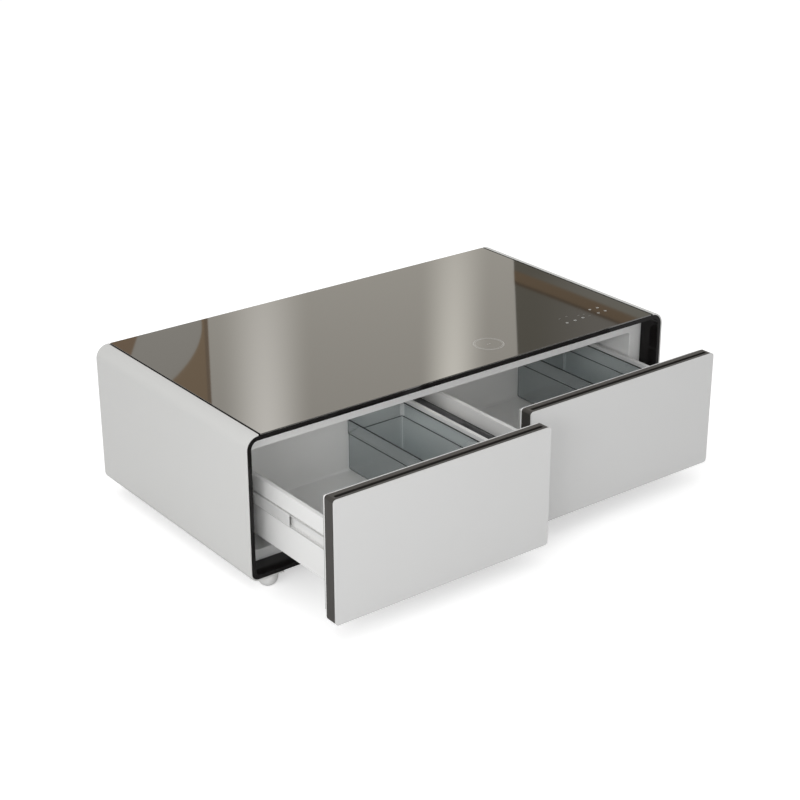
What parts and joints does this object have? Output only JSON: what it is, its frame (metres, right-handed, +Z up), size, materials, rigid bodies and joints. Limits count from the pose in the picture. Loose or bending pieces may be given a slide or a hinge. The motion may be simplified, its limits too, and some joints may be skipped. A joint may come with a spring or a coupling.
{
  "type": "refrigerator coffee table",
  "caption": "Low cooled coffee table with a flush smoked glass top, white rolled sides and cooled drawers on telescopic slides behind bronze-edged white fronts.",
  "frame": {"origin": "on the floor, under the middle of the whole table with its drawers as they stand open in the picture; the cabinet's own middle is 0.149 m behind it", "axes": "+X to the right along the front, +Y from the drawer fronts towards the back, +Z up"},
  "size_m": [1.3, 0.988, 0.398],
  "materials": {
    "white_lacquer": "satin",
    "white_plastic": "satin",
    "foot_plastic": "satin",
    "black_gloss": "gloss",
    "black_plastic": "satin",
    "smoked_glass": "polished",
    "smoked_plastic": "gloss",
    "dark_bronze": "satin",
    "rail_steel": "satin",
    "coil_steel": "satin",
    "pan_steel": "satin",
    "rear_paint": "matte",
    "gasket_rubber": "matte",
    "black_rubber": "matte",
    "foam": "matte",
    "copper": "satin",
    "fin_aluminium": "satin",
    "black_enamel": "satin",
    "board_green": "satin",
    "light_diffuser": "matte",
    "zinc": "satin"
  },
  "bodies": {
    "cabinet": {"left_side_panel": "white_lacquer", "right_side_panel": "white_lacquer", "base_pan": "pan_steel", "rear_panel": "rear_paint", "front_rim": "black_gloss", "glass_top": "smoked_glass", "glass_tray": "black_plastic", "inner_liner": "white_plastic", "insulation_foam": "foam", "centre_divider": "white_plastic", "interior_light": "light_diffuser", "foot_front_left": "foot_plastic", "foot_front_right": "foot_plastic", "foot_rear_left": "foot_plastic", "foot_rear_right": "foot_plastic", "compressor": "black_enamel", "compressor_mount": "black_rubber", "condenser": "coil_steel", "filter_drier": "copper", "discharge_pipe": "copper", "suction_pipe": "copper", "drip_tray": "black_plastic", "condenser_fan_frame": "black_plastic", "evaporator": "fin_aluminium", "evaporator_cover": "white_plastic", "evaporator_fan_frame": "black_plastic", "power_supply": "zinc", "control_board": "board_green", "mains_inlet": "black_plastic", "touch_board": "board_green", "charger_coil": "copper", "left_drawer_outer_rail_left": "rail_steel", "left_drawer_outer_rail_right": "rail_steel", "right_drawer_outer_rail_left": "rail_steel", "right_drawer_outer_rail_right": "rail_steel"},
    "condenser_fan": {"condenser_fan_rotor": "black_plastic"},
    "evaporator_fan": {"evaporator_fan_rotor": "black_plastic"},
    "left_middle_rails": {"left_drawer_middle_rail_left": "rail_steel", "left_drawer_middle_rail_right": "rail_steel"},
    "right_middle_rails": {"right_drawer_middle_rail_left": "rail_steel", "right_drawer_middle_rail_right": "rail_steel"},
    "left_drawer": {"left_drawer_face": "white_lacquer", "left_drawer_band": "dark_bronze", "left_drawer_core": "foam", "left_drawer_inner_plate": "white_plastic", "left_drawer_gasket": "gasket_rubber", "left_drawer_tub": "white_plastic", "left_drawer_bin": "smoked_plastic", "left_drawer_inner_rail_left": "rail_steel", "left_drawer_inner_rail_right": "rail_steel"},
    "right_drawer": {"right_drawer_face": "white_lacquer", "right_drawer_band": "dark_bronze", "right_drawer_core": "foam", "right_drawer_inner_plate": "white_plastic", "right_drawer_gasket": "gasket_rubber", "right_drawer_tub": "white_plastic", "right_drawer_bin": "smoked_plastic", "right_drawer_inner_rail_left": "rail_steel", "right_drawer_inner_rail_right": "rail_steel"}
  },
  "joints": [
    {"name": "left_drawer_slide", "type": "slide", "parent": "cabinet", "child": "left_drawer", "axis": [0, -1, 0], "range_m": [-0.298, 0.102]},
    {"name": "right_drawer_slide", "type": "slide", "parent": "cabinet", "child": "right_drawer", "axis": [0, -1, 0], "range_m": [-0.2115, 0.1885]},
    {"name": "left_middle_rail_slide", "type": "slide", "parent": "cabinet", "child": "left_middle_rails", "axis": [0, -1, 0], "range_m": [-0.149, 0.051]},
    {"name": "right_middle_rail_slide", "type": "slide", "parent": "cabinet", "child": "right_middle_rails", "axis": [0, -1, 0], "range_m": [-0.10575, 0.09425]},
    {"name": "condenser_fan_spin", "type": "hinge", "parent": "cabinet", "child": "condenser_fan", "pos_m": [-0.305, 0.4265, 0.0916], "axis": [1, 0, 0], "continuous": true},
    {"name": "evaporator_fan_spin", "type": "hinge", "parent": "cabinet", "child": "evaporator_fan", "pos_m": [0, 0.334, 0.2005], "axis": [0, 1, 0], "continuous": true}
  ],
  "couplings": [
    {"joint": "left_middle_rail_slide", "follows": "left_drawer_slide", "ratio": 0.5},
    {"joint": "right_middle_rail_slide", "follows": "right_drawer_slide", "ratio": 0.5}
  ]
}
